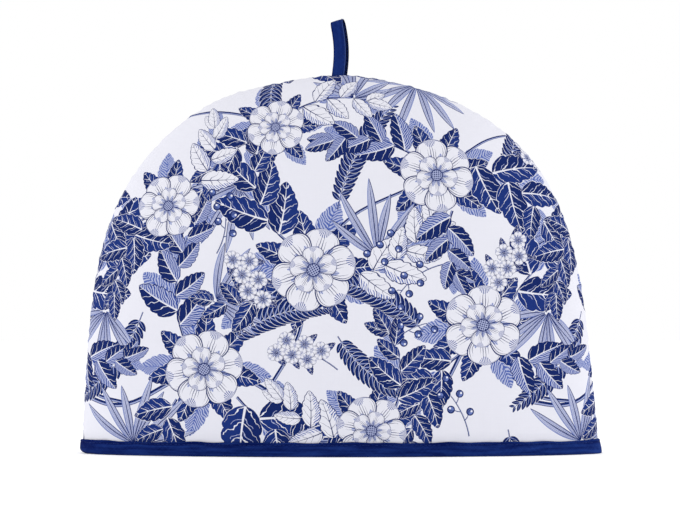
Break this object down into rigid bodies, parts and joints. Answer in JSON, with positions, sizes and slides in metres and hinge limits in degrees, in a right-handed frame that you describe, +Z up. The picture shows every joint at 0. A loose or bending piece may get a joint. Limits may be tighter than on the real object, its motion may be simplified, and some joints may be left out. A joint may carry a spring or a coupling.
{
  "type": "tea cosy",
  "caption": "Free-standing dome-shaped wadded tea cosy in blue-and-white printed cotton, with a bound hem and a fabric hanging loop at the top of the arch.",
  "frame": {"origin": "on the surface that the cosy stands on, under the middle of its hem", "axes": "+Z up, front panel towards -Y, the wide side along X"},
  "size_m": [0.3463, 0.1054, 0.289],
  "materials": {
    "printed_cotton": "plain-woven cotton, lavender white with a navy and pale blue print of flowers and leaves, soft matte",
    "binding_cotton": "navy blue cotton tape, matte with a faint sheen on the folds"
  },
  "bodies": {
    "root": {"front_panel": "printed_cotton", "back_panel": "printed_cotton", "hem_binding": "binding_cotton", "hanging_loop": "binding_cotton"}
  },
  "joints": []
}
